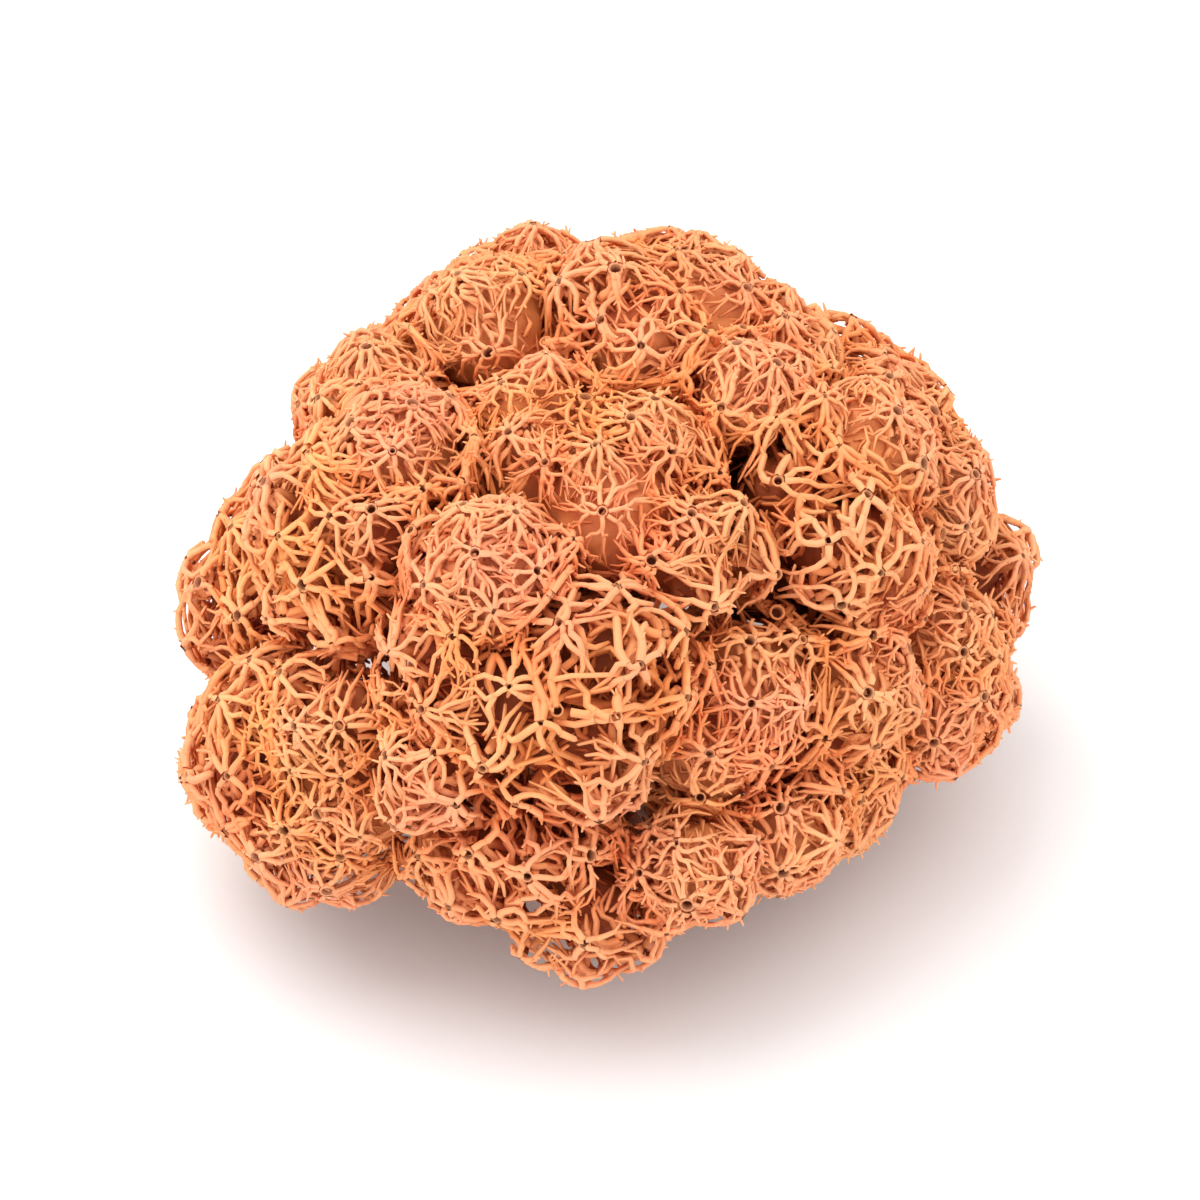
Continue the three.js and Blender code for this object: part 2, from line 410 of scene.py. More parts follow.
deepest = skin(lobe_centres + [0, 0, 1] * lobe_radii[:, None])[0].min()
print("the skin covers the tops of lobes by up to", round(-deepest, 2), "mm")

# %% [markdown]
# ## Florets
#
# Seen from above, the cushion is a patchwork of florets: low tufts about three millimetres across,
# whose strands run out from one top to all sides. Scatter nodes could deal them out at even
# distances. Here every lobe offers far more places than are needed, and a place is taken if no floret
# stands too near, first at a wide spacing and then at a closer one. So each floret knows the lobe and
# the podetium that it grows from. In some parts, most of them at the front on the left, the clump is
# an open net, and florets stand further apart.

# %% Where the clump is an open net
OPENNESS_GRAIN = 0.085
OPENNESS_RIPPLE = 1.1
OPENNESS_ANYWHERE = 0.06
OPENNESS_OF_SIDE = 0.42
CAMERA_TURN = math.radians(-40)
CAMERA_RIGHT = np.array([math.cos(CAMERA_TURN), math.sin(CAMERA_TURN), 0])
CAMERA_AHEAD = np.array([-math.sin(CAMERA_TURN), math.cos(CAMERA_TURN), 0])
OPEN_SIDE = unit(-0.8 * CAMERA_RIGHT - 0.5 * CAMERA_AHEAD - [0, 0, 0.15])
BELLY_MIDDLE = np.array([0, 0, BELLY_HEIGHT])


def openness(place):
    """0 where strands lie close, 1 where they stand wide: a slow noise, and more on one side."""
    ripple = noise.noise(Vector(place * OPENNESS_GRAIN)) * OPENNESS_RIPPLE
    side = max(0.0, float(unit(place - BELLY_MIDDLE) @ OPEN_SIDE))
    return min(1.0, max(0.0, OPENNESS_ANYWHERE + ripple + OPENNESS_OF_SIDE * side))


lobe_openness = [openness(centre) for centre in lobe_centres]
print("openness at the lobes:", round(min(lobe_openness), 2), "to", round(max(lobe_openness), 2))

# %% Places where florets could stand
FLORET_TRIES_PER_LOBE = 260
FLORET_CAP_DEG = 135
FLORET_SCATTER = 0.05
LOWEST_FLORET = 2.6
MOST_INWARD, MOST_DOWNWARD = -0.1, -0.8
SAME_LOBE = 0.01

rng = np.random.default_rng(SEED)


def cap_directions(axis, count, cap_deg, scatter):
    """Unit vectors spread over a cap of a sphere round an axis, in sunflower order."""
    steps = np.arange(count)
    height = 1 - (steps + 0.5) / count * (1 - math.cos(math.radians(cap_deg)))
    width = np.sqrt(1 - height**2)
    angle = rng.uniform(0, FULL_TURN) + steps * GOLDEN_TURN
    side = sideways_of(axis[None])[0]
    third = np.cross(axis, side)
    spread = (
        side[None] * (width * np.cos(angle))[:, None]
        + third[None] * (width * np.sin(angle))[:, None] + axis[None] * height[:, None]
    )
    return unit(spread + rng.normal(0, 1, spread.shape) * scatter)


def floret_tries(podetium, lobe):
    """Places on the skin that are nearest to this lobe and neither face inward nor the floor."""
    ways = cap_directions(lobe["out"], FLORET_TRIES_PER_LOBE, FLORET_CAP_DEG, FLORET_SCATTER)
    places = onto_skin(lobe["centre"] + ways * lobe["radius"], 0)
    over = np.linalg.norm(places[:, None] - lobe_centres[None], axis=-1) - lobe_radii
    own = np.linalg.norm(places - lobe["centre"], axis=-1) - lobe["radius"]
    _, axes = skin(places)
    from_middle = unit(places - BELLY_MIDDLE)
    good = (own < over.min(axis=1) + SAME_LOBE) & (places[:, 2] > LOWEST_FLORET)
    good &= ((axes * from_middle).sum(1) > MOST_INWARD) & (axes[:, 2] > MOST_DOWNWARD)
    return [(podetium, lobe, place, axis) for place, axis in zip(places[good], axes[good])]


tries = []
for podetium in podetia:
    for lobe in podetium["lobes"]:
        lobe["out"] = unit(lobe["centre"] - podetium["crown"])
        tries += floret_tries(podetium, lobe)
print("places where florets could stand:", len(tries))

# %% Deal out florets
FLORET_SPACING = (3.35, 2.88)
OPEN_SPACING = 0.3
FLORET_RISE = (0.15, 0.7)
HOLE_SIZE = (0.45, 1.1)
CALLED_OPEN = 0.45

florets = []
floret_tops = np.zeros((0, 3))
order = rng.permutation(len(tries))
for spacing in FLORET_SPACING:
    for index in order:
        podetium, lobe, top, axis = tries[index]
        wide = openness(top)
        room = spacing * (1 + OPEN_SPACING * wide)
        if len(florets) and np.linalg.norm(floret_tops - top, axis=1).min() < room:
            continue
        floret_tops = np.vstack([floret_tops, top])
        floret = {
            "number": len(florets), "lobe": lobe, "top": top, "axis": axis, "open": wide,
            "tone": rng.uniform(-1, 1), "rise": rng.uniform(*FLORET_RISE),
            "hole": rng.uniform(*HOLE_SIZE),
        }
        florets.append(floret)
        podetium["florets"].append(floret)

floret_axes = np.array([floret["axis"] for floret in florets])
floret_open = np.array([floret["open"] for floret in florets])
floret_rise = np.array([floret["rise"] for floret in florets])
floret_tone = np.array([floret["tone"] for floret in florets])
print("florets on each podetium:", [len(podetium["florets"]) for podetium in podetia])
print("florets in all:", len(florets), "of them open:", (floret_open > CALLED_OPEN).sum())

# %% [markdown]
# ## Strands over a floret
#
# A strand forks twice on its way out, and its branches keep their distance from each other. Twigs
# that are grown freely in space would clash in one place and leave the next one bald. So a strand is
# first drawn flat, by how far out from the floret's top it lies and in which direction, and then laid
# on the skin. It leaves its fork straight on and swings to its side, as a real fork does. Strands
# that run far into a neighbour's ground are left out. A drift in space, the same for all strands,
# takes away the regular look. A second layer lies below the first and crosses it.

# %% A drift in space
SLOW_GRAIN, QUICK_GRAIN = 0.28, 0.9
SLOW_DRIFT, QUICK_DRIFT = 0.8, 0.34

# Without a seed, noise_vector starts at a place that the clock gives, and no two runs are alike.
noise.seed_set(SEED)


def drift(points):
    """Points in mm, moved by a slow and a quick bending of space."""
    flat = points.reshape(-1, 3)
    slow = np.array([noise.noise_vector(Vector(place)) for place in flat * SLOW_GRAIN])
    quick = np.array([noise.noise_vector(Vector(place)) for place in flat * QUICK_GRAIN])
    return points + (slow * SLOW_DRIFT + quick * QUICK_DRIFT).reshape(points.shape)


drifted = np.linalg.norm(drift(floret_tops) - floret_tops, axis=1)
print("florets drift by", drifted.mean().round(2), "mm, at most by", drifted.max().round(2), "mm")

# %% Strands drawn flat
PIT_RADIUS = 0.5
RIM_SHARE = 0.85
FORK_OUT = ((0.75, 1.3), (1.5, 2.2), (2.5, 3.5))
STRANDS_PER_FLORET = (6.8, 8.8)
FEWER_IF_OPEN = 3.2
FIRST_TURN_SCATTER = 0.4
LOST_BRANCHES, LOST_IF_OPEN = 0.03, 0.27
LONGER_IF_OPEN = 0.3
FORK_SPREAD = (0.6, 1.5)
TURN_SCATTER = 0.14
SWING = 1.5
LAYER_SHIFT = (0.0, 1.1)
STRAND_RINGS = ((4, 3, 3), (3, 3, 3))


def flat_strands(floret, count, shift, rings):
    """Strands level by level: places along the floret's two side ways, in mm."""
    turn = rng.uniform(0, FULL_TURN) + np.arange(count) * FULL_TURN / count
    turn = turn + rng.uniform(-FIRST_TURN_SCATTER, FIRST_TURN_SCATTER, count) * FULL_TURN / count
    out = np.full(count, PIT_RADIUS * RIM_SHARE * floret["hole"])
    width = FULL_TURN / count
    levels = []
    for level, (low, high) in enumerate(FORK_OUT):
        hand = np.zeros(count)
        if level:
            lost = LOST_BRANCHES + LOST_IF_OPEN * floret["open"]
            left, right = rng.random((2, len(out))) > lost
            out = np.concatenate([out[left], out[right]])
            turn = np.concatenate([turn[left], turn[right]])
            hand = np.concatenate([-np.ones(left.sum()), np.ones(right.sum())])
            width /= 2
        size = len(out)
        end_out = rng.uniform(low, high, size) * (1 + LONGER_IF_OPEN * floret["open"])
        end_turn = turn + width / 2 * hand * rng.uniform(*FORK_SPREAD, size)
        end_turn = end_turn + rng.normal(0, TURN_SCATTER, size) * (1 + floret["open"])
        steps = np.linspace(0, 1, rings[level])[None]
        outs = out[:, None] + (end_out - out)[:, None] * steps
        turns = turn[:, None] + (end_turn - turn)[:, None] * steps**SWING
        levels.append((outs * np.cos(turns) + shift[0], outs * np.sin(turns) + shift[1]))
        out, turn = end_out, end_turn
    return levels


def draw_strands(podetium, layer):
    """Level by level the flat places of a podetium's strands, and the number of their floret."""
    columns = [[] for _ in FORK_OUT]
    for floret in podetium["florets"]:
        count = int(round(rng.uniform(*STRANDS_PER_FLORET) - FEWER_IF_OPEN * floret["open"]))
        shift = rng.normal(0, LAYER_SHIFT[layer], 2)
        for column, (x, y) in zip(columns, flat_strands(floret, count, shift, STRAND_RINGS[layer])):
            column.append((x, y, np.full(len(x), floret["number"])))
    return [[np.concatenate(part) for part in zip(*column)] for column in columns]


print("a strand runs up to", FORK_OUT[-1][1] * (1 + LONGER_IF_OPEN), "mm out from its floret's top")

# %% Strands laid on the skin
FLORET_CURVE = 9.0
FLORET_RADIUS = 2.1
LOWEST_RISE = -0.25
LAYER_DEPTH = (0.0, 0.38)
DEEPER_IF_OPEN = (0.0, 0.65)
GROUND_MARGIN = ((0.4, 0.8, 1.1), (0.9, 1.1, 1.3))
WIDER_IF_OPEN = 0.5
MIDDLE_BOW = (-0.08, 0.14)
END_BOW = 0.1
LOWEST_TWIG = 1.2
STRAND_THICKNESS = (0.85, 1.15)
THICKER_IF_OPEN = 0.6
THICKER_BELOW = 0.15
TONE_OF_FLORET, TONE_OF_STRAND = 0.4, 0.6
STRAND_SIDES = ((4, 4, 3), (4, 3, 3))
STRAND_RADII = ((0.2, 0.175), (0.18, 0.155), (0.165, 0.08))


def over_florets(x, y, number):
    """Flat places laid over the rounded tops of their florets, and how far out they are."""
    axis = floret_axes[number][:, None]
    side = sideways_of(floret_axes[number])[:, None]
    third = np.cross(axis, side)
    out = np.sqrt(x**2 + y**2)
    points = floret_tops[number][:, None] + side * x[..., None] + third * y[..., None]
    return points - axis * (out**2 / FLORET_CURVE)[..., None], out


def on_own_ground(points, number, margin):
    """True for strands that lie nearer to their own floret than to others, give or take a margin."""
    apart = np.linalg.norm(points[:, 1][:, None] - floret_tops[None], axis=-1)
    rows = np.arange(len(number))
    own = apart[rows, number]
    apart[rows, number] = math.inf
    return own < apart.min(axis=1) + margin


def lay_strands(x, y, number, layer, level):
    """The middles and ways of a level's strands, and their thickness and tone."""
    points, out = over_florets(x, y, number)
    wide = floret_open[number]
    keep = on_own_ground(points, number, GROUND_MARGIN[layer][level] * (1 + WIDER_IF_OPEN * wide))
    rise = floret_rise[number][:, None] * (1 - (out / FLORET_RADIUS) ** 2)
    depth = LAYER_DEPTH[layer] + DEEPER_IF_OPEN[layer] * wide
    height = np.maximum(rise, LOWEST_RISE) - depth[:, None]
    height[:, 1] += rng.uniform(*MIDDLE_BOW, len(height))
    if level == len(FORK_OUT) - 1:
        height[:, -1] += rng.uniform(-END_BOW, END_BOW, len(height))
    points = onto_skin(drift(points[keep]), height[keep])
    thick = rng.uniform(*STRAND_THICKNESS, len(points)) * (1 + THICKER_IF_OPEN * wide[keep])
    tone = floret_tone[number][keep] * TONE_OF_FLORET
    tone = tone + rng.uniform(-TONE_OF_STRAND, TONE_OF_STRAND, len(points))
    above = points[:, :, 2].min(axis=1) > LOWEST_TWIG
    ways = unit(np.gradient(points, axis=1))
    return {
        "points": points[above], "ways": ways[above], "thick": thick[above], "tone": tone[above]}


def strand_batches(podetium):
    batches = []
    for layer, all_sides in enumerate(STRAND_SIDES):
        drawn = draw_strands(podetium, layer)
        levels = [lay_strands(*flat, layer, level) for level, flat in enumerate(drawn)]
        if layer == 0:
            podetium["forks"] = levels[:-1]
        for laid, (thick, thin), sides in zip(levels, STRAND_RADII, all_sides):
            radii = np.linspace(thick, thin, laid["points"].shape[1])[None]
            radii = laid["thick"][:, None] * radii * (1 + THICKER_BELOW * layer)
            batches.append(tube_batch(laid["points"], laid["ways"], radii, sides, laid["tone"]))
    return batches


print("strands are", 2 * STRAND_RADII[0][0], "to", 2 * STRAND_RADII[-1][1], "mm thick, before chance")

# %% [markdown]
# ## Tips and holes
#
# Two small things make the surface look alive. Short pointed tips stand out of many forks, and they
# blur the outline. At the top of a floret its strands join round a small dark hole, the opening of a
# hollow branch. The hole could be cut with a boolean, but a short tube does as well: its wall goes up,
# over a rim and down again inside, where an attribute tells the material to paint it dark as shade.

# %% Tips at the forks
TIPS_PER_FORK = 0.55
TIP_LENGTH = 0.8
TIP_LENGTH_RANGE = (0.5, 1.3)
TIP_RISE = (0.25, 1.2)
TIP_SIDEWAYS = 1.0
TIP_ONWARD = (0.0, 1.2)
TIP_LEAN, TIP_UPTURN = 0.7, 0.2
TIP_STEPS = (0, 0.75)
TIP_RADII = (0.14, 0.075)
TIP_SIDES = 4
TIP_TONE = (-0.4, 1.0)


def tip_batch(podetium):
    """Short pointed tips that stand out of the upper layer's forks."""
    roots = np.concatenate([level["points"][:, -1] for level in podetium["forks"]])
    along = np.concatenate([level["ways"][:, -1] for level in podetium["forks"]])
    pick = rng.random(len(roots)) < TIPS_PER_FORK
    roots, along = roots[pick], along[pick]
    count = len(roots)
    _, axis = skin(roots)
    across = np.cross(along, axis)
    out = unit(
        axis * rng.uniform(*TIP_RISE, (count, 1))
        + across * rng.uniform(-TIP_SIDEWAYS, TIP_SIDEWAYS, (count, 1))
        + along * rng.uniform(*TIP_ONWARD, (count, 1)))
    ends = roots + out * TIP_LENGTH * rng.uniform(*TIP_LENGTH_RANGE, (count, 1))
    points, ways = bent(
        roots, unit(along + out * TIP_LEAN), ends, unit(out + axis * TIP_UPTURN), TIP_STEPS)
    return tube_batch(points, ways, [TIP_RADII], TIP_SIDES, rng.uniform(*TIP_TONE, count))


# %% Small dark holes
HOLE_HEIGHTS = (-0.35, 0.1, 0.12, -0.5)
HOLE_RADII = (0.75, 1.0, 0.72, 0.6)
HOLE_SIDES = 9
# The inner rings of a hole are painted dark as shade.
HOLE_SHADE = (0.0, 0.0, 0.5, 1.0)


def hole_batch(podetium):
    """A rim with a hole at the top of each floret, from which its strands start."""
    numbers = np.array([floret["number"] for floret in podetium["florets"]])
    sizes = np.array([[floret["hole"]] for floret in podetium["florets"]])
    places = onto_skin(drift(floret_tops[numbers]), floret_rise[numbers])
    _, axes = skin(places)
    points = places[:, None] + axes[:, None] * np.array(HOLE_HEIGHTS)[None, :, None]
    ways = np.repeat(axes[:, None], len(HOLE_HEIGHTS), axis=1)
    radii = sizes * PIT_RADIUS * np.array([HOLE_RADII])
    tones = rng.uniform(-1, 1, len(places))
    return tube_batch(points, ways, radii, HOLE_SIDES, tones, [HOLE_SHADE])


widths = 2 * PIT_RADIUS * np.array(HOLE_SIZE)
print("holes are", widths[0].round(2), "to", widths[1].round(2), "mm wide at their rims")

# %% [markdown]
# ## What carries the florets
#
# Boughs lead to the florets from the middle of their lobe, and limbs lead from there back to the
# stalk. They show only where the clump is open, and from below. Each is one smooth bend that leaves
# its parent in the parent's direction; a skin modifier over a skeleton would melt the joints
# together, but they are hidden.

# %% Boughs
BOUGH_INWARD = 1.4
BOUGH_BELOW_TOP = 0.35
BOUGH_START_PULL, BOUGH_END_PULL = 0.7, 0.9
BOUGH_RADII = (0.55, 0.32)
BOUGH_RINGS, BOUGH_SIDES = 5, 5


def bough_batch(podetium):
    """A bough from the middle of its lobe to each floret."""
    florets = podetium["florets"]
    out = np.array([floret["lobe"]["out"] for floret in florets])
    starts = np.array([floret["lobe"]["centre"] for floret in florets]) - out * BOUGH_INWARD
    axes = np.array([floret["axis"] for floret in florets])
    ends = np.array([floret["top"] for floret in florets]) - axes * BOUGH_BELOW_TOP
    points, ways = bent(
        starts, out * BOUGH_START_PULL, ends, axes * BOUGH_END_PULL, np.linspace(0, 1, BOUGH_RINGS))
    radii = [np.linspace(*BOUGH_RADII, BOUGH_RINGS)]
    return tube_batch(points, ways, radii, BOUGH_SIDES, rng.uniform(-1, 1, len(ends)))


# %% Stalks and limbs
STALK_RADII = (1.25, 0.85)
STALK_ROUGHNESS = (-0.13, 0.1)
STALK_RINGS, STALK_SIDES = 15, 14
STALK_SWAY = (0.12, 0.09, 0)
SWAY_TURN = 1.3
# The stalk is darkened, and given a darker tone.
STALK_TONE = -0.8
STALK_DARKENING = 0.5
LIMB_FROM, LIMB_TO = 0.62, 0.96
LIMB_INWARD = 0.6
LIMB_START_PULL, LIMB_END_PULL = 0.9, 0.8
LIMB_RADII = (0.8, 0.5)
LIMB_RINGS, LIMB_SIDES = 8, 9


def stalk_batch(podetium):
    """A podetium's stalk, from its foot over its bend to its crown."""
    s = np.linspace(0, 1, STALK_RINGS)[:, None]
    foot, bend, crown = podetium["foot"], podetium["bend"], podetium["crown"]
    points = foot * (1 - s) ** 2 + bend * 2 * s * (1 - s) + crown * s**2
    ways = unit((bend - foot) * (1 - s) + (crown - bend) * s)
    radii = np.linspace(*STALK_RADII, STALK_RINGS) * (1 + rng.uniform(*STALK_ROUGHNESS, STALK_RINGS))
    podetium["stalk_points"], podetium["stalk_ways"] = points, ways
    points = points + np.outer(np.sin(np.arange(STALK_RINGS) * SWAY_TURN + foot[0]), STALK_SWAY)
    darkening = np.full((1, STALK_RINGS), STALK_DARKENING)
    return tube_batch(points[None], ways[None], radii[None], STALK_SIDES, STALK_TONE, darkening)


def limb_batch(podetium):
    """Limbs from the stalk to each lobe, the lowest lobes' first."""
    lobes = sorted(podetium["lobes"], key=lambda lobe: lobe["centre"][2])
    at = np.rint(np.linspace(LIMB_FROM, LIMB_TO, len(lobes)) * (STALK_RINGS - 1)).astype(int)
    out = np.array([lobe["out"] for lobe in lobes])
    ends = np.array([lobe["centre"] for lobe in lobes]) - out * LIMB_INWARD
    starts = podetium["stalk_points"][at]
    along = podetium["stalk_ways"][at]
    points, ways = bent(
        starts, along * LIMB_START_PULL, ends, out * LIMB_END_PULL, np.linspace(0, 1, LIMB_RINGS))
    radii = [np.linspace(*LIMB_RADII, LIMB_RINGS)]
    return tube_batch(points, ways, radii, LIMB_SIDES, rng.uniform(-1, 1, len(lobes)))


print("stalks are", 2 * STALK_RADII[0], "mm thick at the foot")

# %% [markdown]
# ## The inside
#
# Between the strands one never sees daylight: the inside of a crown is a tangle of older twigs.
# Modelling that tangle in full would cost more than all the rest. So plain twigs cross each other
# close under the strands, deeper where the clump is open, and others stand along the stalks. Under
# them each lobe has a rough kernel, and a rough heart in the middle of the crown closes the view.

# %% Mat of inner twigs
KERNEL_DEPTH = (0.85, 2.2)
KERNEL_OPENNESS = (0.1, 0.6)
MAT_TWIGS_PER_LOBE = 54
MAT_CAP_DEG = 125
MAT_SCATTER = 0.1
MAT_HALF_LENGTH = (0.6, 1.3)
MAT_BOW = 0.5
MAT_HUMP = 0.28
MAT_RISE = (-0.1, 0.25)
MAT_THICKNESS = (0.8, 1.3)
MAT_RADII = (0.13, 0.18, 0.08)
MAT_SIDES = 3


def kernel_depth(wide):
    """How deep a kernel lies under the skin, in mm, where the clump is that open."""
    shallow, deep = KERNEL_DEPTH
    return shallow + (deep - shallow) * np.interp(wide, KERNEL_OPENNESS, (0, 1))


def mat_batch(podetium):
    """Twigs that cross each other on the lobes' kernels."""
    starts, depths = [], []
    for lobe in podetium["lobes"]:
        ways = cap_directions(lobe["out"], MAT_TWIGS_PER_LOBE, MAT_CAP_DEG, MAT_SCATTER)
        starts.append(lobe["centre"] + ways * lobe["radius"])
        wide = openness(lobe["centre"] + lobe["out"] * lobe["radius"])
        depths.append(np.full(len(ways), kernel_depth(wide)))
    starts, depths = np.concatenate(starts), np.concatenate(depths)
    count = len(starts)
    _, axis = skin(starts)
    along = unit(np.cross(axis, rng.normal(0, 1, axis.shape)))
    across = np.cross(axis, along)
    s = np.array([-1, 0, 1])[None, :, None]
    half = rng.uniform(*MAT_HALF_LENGTH, (count, 1, 1))
    bow = rng.uniform(-MAT_BOW, MAT_BOW, (count, 1, 1))
    points = starts[:, None] + along[:, None] * s * half + across[:, None] * s**2 * bow
    height = -depths[:, None] + np.array([[0.0, MAT_HUMP, 0.0]]) + rng.uniform(*MAT_RISE, (count, 1))
    points = onto_skin(points, height)
    points = points[points[:, :, 2].min(axis=1) > LOWEST_TWIG]
    radii = rng.uniform(*MAT_THICKNESS, (len(points), 1)) * [MAT_RADII]
    ways = unit(np.gradient(points, axis=1))
    return tube_batch(points, ways, radii, MAT_SIDES, rng.uniform(-1, 1, len(points)))


print("kernels lie", kernel_depth(0), "to", kernel_depth(1), "mm under the skin")

# %% Side twigs
SIDE_TWIGS_PER_STALK = 60
FIRST_TWIG_RING = 3
SIDE_TWIG_LENGTH = (2.0, 3.2)
LONGER_EACH_RING = 0.28
LOWEST_SIDE_TIP = 1.5
SIDE_TWIG_RISE = 0.5
SIDE_TWIG_LEAN = 0.6
SIDE_TWIG_STEPS = (0, 0.3, 0.6, 1)
INSIDE_SKIN = -0.4
NEAR_AXIS = 10
SIDE_TWIG_RADII = (0.5, 0.38, 0.32, 0.14)
SIDE_TWIG_SIDES = 5


def side_twig_batch(podetium):
    """Dead twigs along a stalk, from above its foot up into its crown, where they stay hidden."""
    at = rng.integers(FIRST_TWIG_RING, STALK_RINGS, SIDE_TWIGS_PER_STALK)
    starts = podetium["stalk_points"][at]
    along = podetium["stalk_ways"][at]
    away = unit(np.cross(along, unit(rng.normal(0, 1, along.shape))))
    shortest, longest = SIDE_TWIG_LENGTH
    length = rng.uniform(shortest, longest + LONGER_EACH_RING * at)
    tips = starts + (away + along * SIDE_TWIG_RISE) * length[:, None]
    tips[:, 2] = np.maximum(tips[:, 2], LOWEST_SIDE_TIP)
    inside = (skin(tips)[0] < INSIDE_SKIN) | (np.linalg.norm(tips[:, :2], axis=1) < NEAR_AXIS)
    starts, along, away, tips = starts[inside], along[inside], away[inside], tips[inside]
    points, ways = bent(
        starts, away, tips, unit(along + away * SIDE_TWIG_LEAN), SIDE_TWIG_STEPS)
    tones = rng.uniform(-1, 1, len(tips))
    return tube_batch(points, ways, [SIDE_TWIG_RADII], SIDE_TWIG_SIDES, tones)


# %% Kernels and hearts
KERNEL_RINGS, KERNEL_SIDES = 15, 26
KERNEL_BACK = 2.0
KERNEL_LONGEST = 0.92
# Kernels are painted dark as shade, darker where the clump is open.
KERNEL_SHADE, KERNEL_SHADE_IF_OPEN = 0.12, 0.65
HEART_RINGS, HEART_SIDES = 22, 30
HEART_BACK = 3.0
HEART_DEPTH = 2.2
HEART_LONGEST = 10.0
# The heart is painted dark as shade.
HEART_SHADE = 0.75
BALL_FRONT = 0.06
# Kernels and hearts also get a darker tone, as painted shade.
BALL_SHADE_TONE = -0.5
ROUGH_GRAIN = 1.1
ROUGHNESS = 0.55
REACH_ROUNDS = 7
FIRST_REACH = 0.6
SHORTEST_REACH = 1.5


def under_skin(middle, ways, depth, longest):
    """How far to go from a middle before only a depth is left to the skin."""
    reach = np.full(len(ways), longest * FIRST_REACH)
    for _ in range(REACH_ROUNDS):
        distance, _ = skin(middle + ways * reach[:, None])
        reach = np.clip(reach - depth - distance, SHORTEST_REACH, longest)
    return reach


def ball_batch(middle, axis, depth, longest, rings, sides, back, darkening):
    """A rough body round a middle that stays at a depth under the skin."""
    side = sideways_of(axis[None])[0]
    third = np.cross(axis, side)
    polar = np.linspace(back, BALL_FRONT, rings)[:, None, None]
    turn = (np.arange(sides) * FULL_TURN / sides)[None, :, None]
    ways = np.cos(polar) * axis + np.sin(polar) * (np.cos(turn) * side + np.sin(turn) * third)
    ways = np.vstack([ways.reshape(-1, 3), axis])
    verts = middle + ways * under_skin(middle, ways, depth, longest)[:, None]
    rough = np.array([noise.noise(Vector(place)) for place in verts * ROUGH_GRAIN])
    verts = verts + ways * rough[:, None] * ROUGHNESS
    return {
        "verts": verts[None],
        "tone": np.full((1, len(verts)), BALL_SHADE_TONE),
        "darkening": np.full((1, len(verts)), darkening),
        **tube_faces(rings, sides),
    }


def kernel_batches(podetium):
    """A kernel in each lobe, and the heart of the crown."""
    batches = []
    for lobe in podetium["lobes"]:
        wide = openness(lobe["centre"] + lobe["out"] * lobe["radius"])
        batches.append(ball_batch(
            lobe["centre"], lobe["out"], kernel_depth(wide), lobe["radius"] * KERNEL_LONGEST,
            KERNEL_RINGS, KERNEL_SIDES, KERNEL_BACK, KERNEL_SHADE + KERNEL_SHADE_IF_OPEN * wide))
    up = unit(podetium["crown"] - podetium["bend"])
    batches.append(ball_batch(
        podetium["crown"], up, HEART_DEPTH, HEART_LONGEST, HEART_RINGS, HEART_SIDES, HEART_BACK,
        HEART_SHADE))
    return batches


print("kernels:", len(all_lobes), "hearts:", len(podetia))

# %% [markdown]
# ## One mesh for each podetium
#
# All batches of one podetium are joined in a single mesh object, because it grew as one body. The
# arrays go in with foreach_set, which is many times quicker than adding faces one by one. Three
# attributes tell the material where it is: "reach" says how far up the floret it lies, and less so in
# the valleys between lobes, and sets the shade painted by depth and in the valleys; "tone" is a chance
# lightness for each twig; and the third marks where shade is painted in holes, kernels and hearts, and
# where the stalks are darkened.

# %% Measure how far out every corner lies
REACH_FROM, REACH_SPAN = 1.9, 2.5
VALLEY_FROM = 0.25
VALLEY_SHADE = 0.45
CORNER_PARTS = 20


def shade_mask_of(verts):
    """0 deep under the skin, 1 at the tops of the florets, and less in the valleys, for painted shade."""
    parts = np.array_split(verts, CORNER_PARTS)
    height = np.concatenate([skin(part)[0] for part in parts])
    from_lobe = np.min([
        np.linalg.norm(verts - centre, axis=1) - radius
        for centre, radius in zip(lobe_centres, lobe_radii)
    ], axis=0)
    # Painted shade in the valleys between lobes: the reach drops there.
    valley_shade = np.clip(from_lobe + SKIN_SINK - height - VALLEY_FROM, 0, 1)
    return np.clip((height + REACH_FROM) / REACH_SPAN - VALLEY_SHADE * valley_shade, 0, 1)


print("reach at the florets' tops:", shade_mask_of(floret_tops).mean().round(2))

# %% Join batches in a mesh
UV_MARGIN = 0.06
MM_PER_METRE = 1000


def joined(batches):
    """One set of arrays for all batches: corners, faces, UV places, tones and pits."""
    verts, loops, totals, uvs = [], [], [], []
    base = 0
    cell = 0
    columns = math.ceil(math.sqrt(sum(len(batch["verts"]) for batch in batches)))
    for batch in batches:
        count, per = batch["verts"].shape[:2]
        offsets = (base + np.arange(count) * per)[:, None, None]
        cells = cell + np.arange(count)
        corner = np.stack([cells % columns, cells // columns], 1)
        for faces, uv in ((batch["quads"], batch["quad_uv"]), (batch["fan"], batch["fan_uv"])):
            loops.append((faces[None] + offsets).ravel())
            totals.append(np.full(count * len(faces), faces.shape[1]))
            placed = (corner[:, None, None] + UV_MARGIN + uv[None] * (1 - 2 * UV_MARGIN)) / columns
            uvs.append(placed.reshape(-1, 2))
        verts.append(batch["verts"].reshape(-1, 3))
        base += count * per
        cell += count
    return {
        "verts": np.concatenate(verts), "loops": np.concatenate(loops),
        "totals": np.concatenate(totals), "uvs": np.concatenate(uvs),
        "tone": np.concatenate([batch["tone"].ravel() for batch in batches]),
        "darkening": np.concatenate([batch["darkening"].ravel() for batch in batches]),
    }


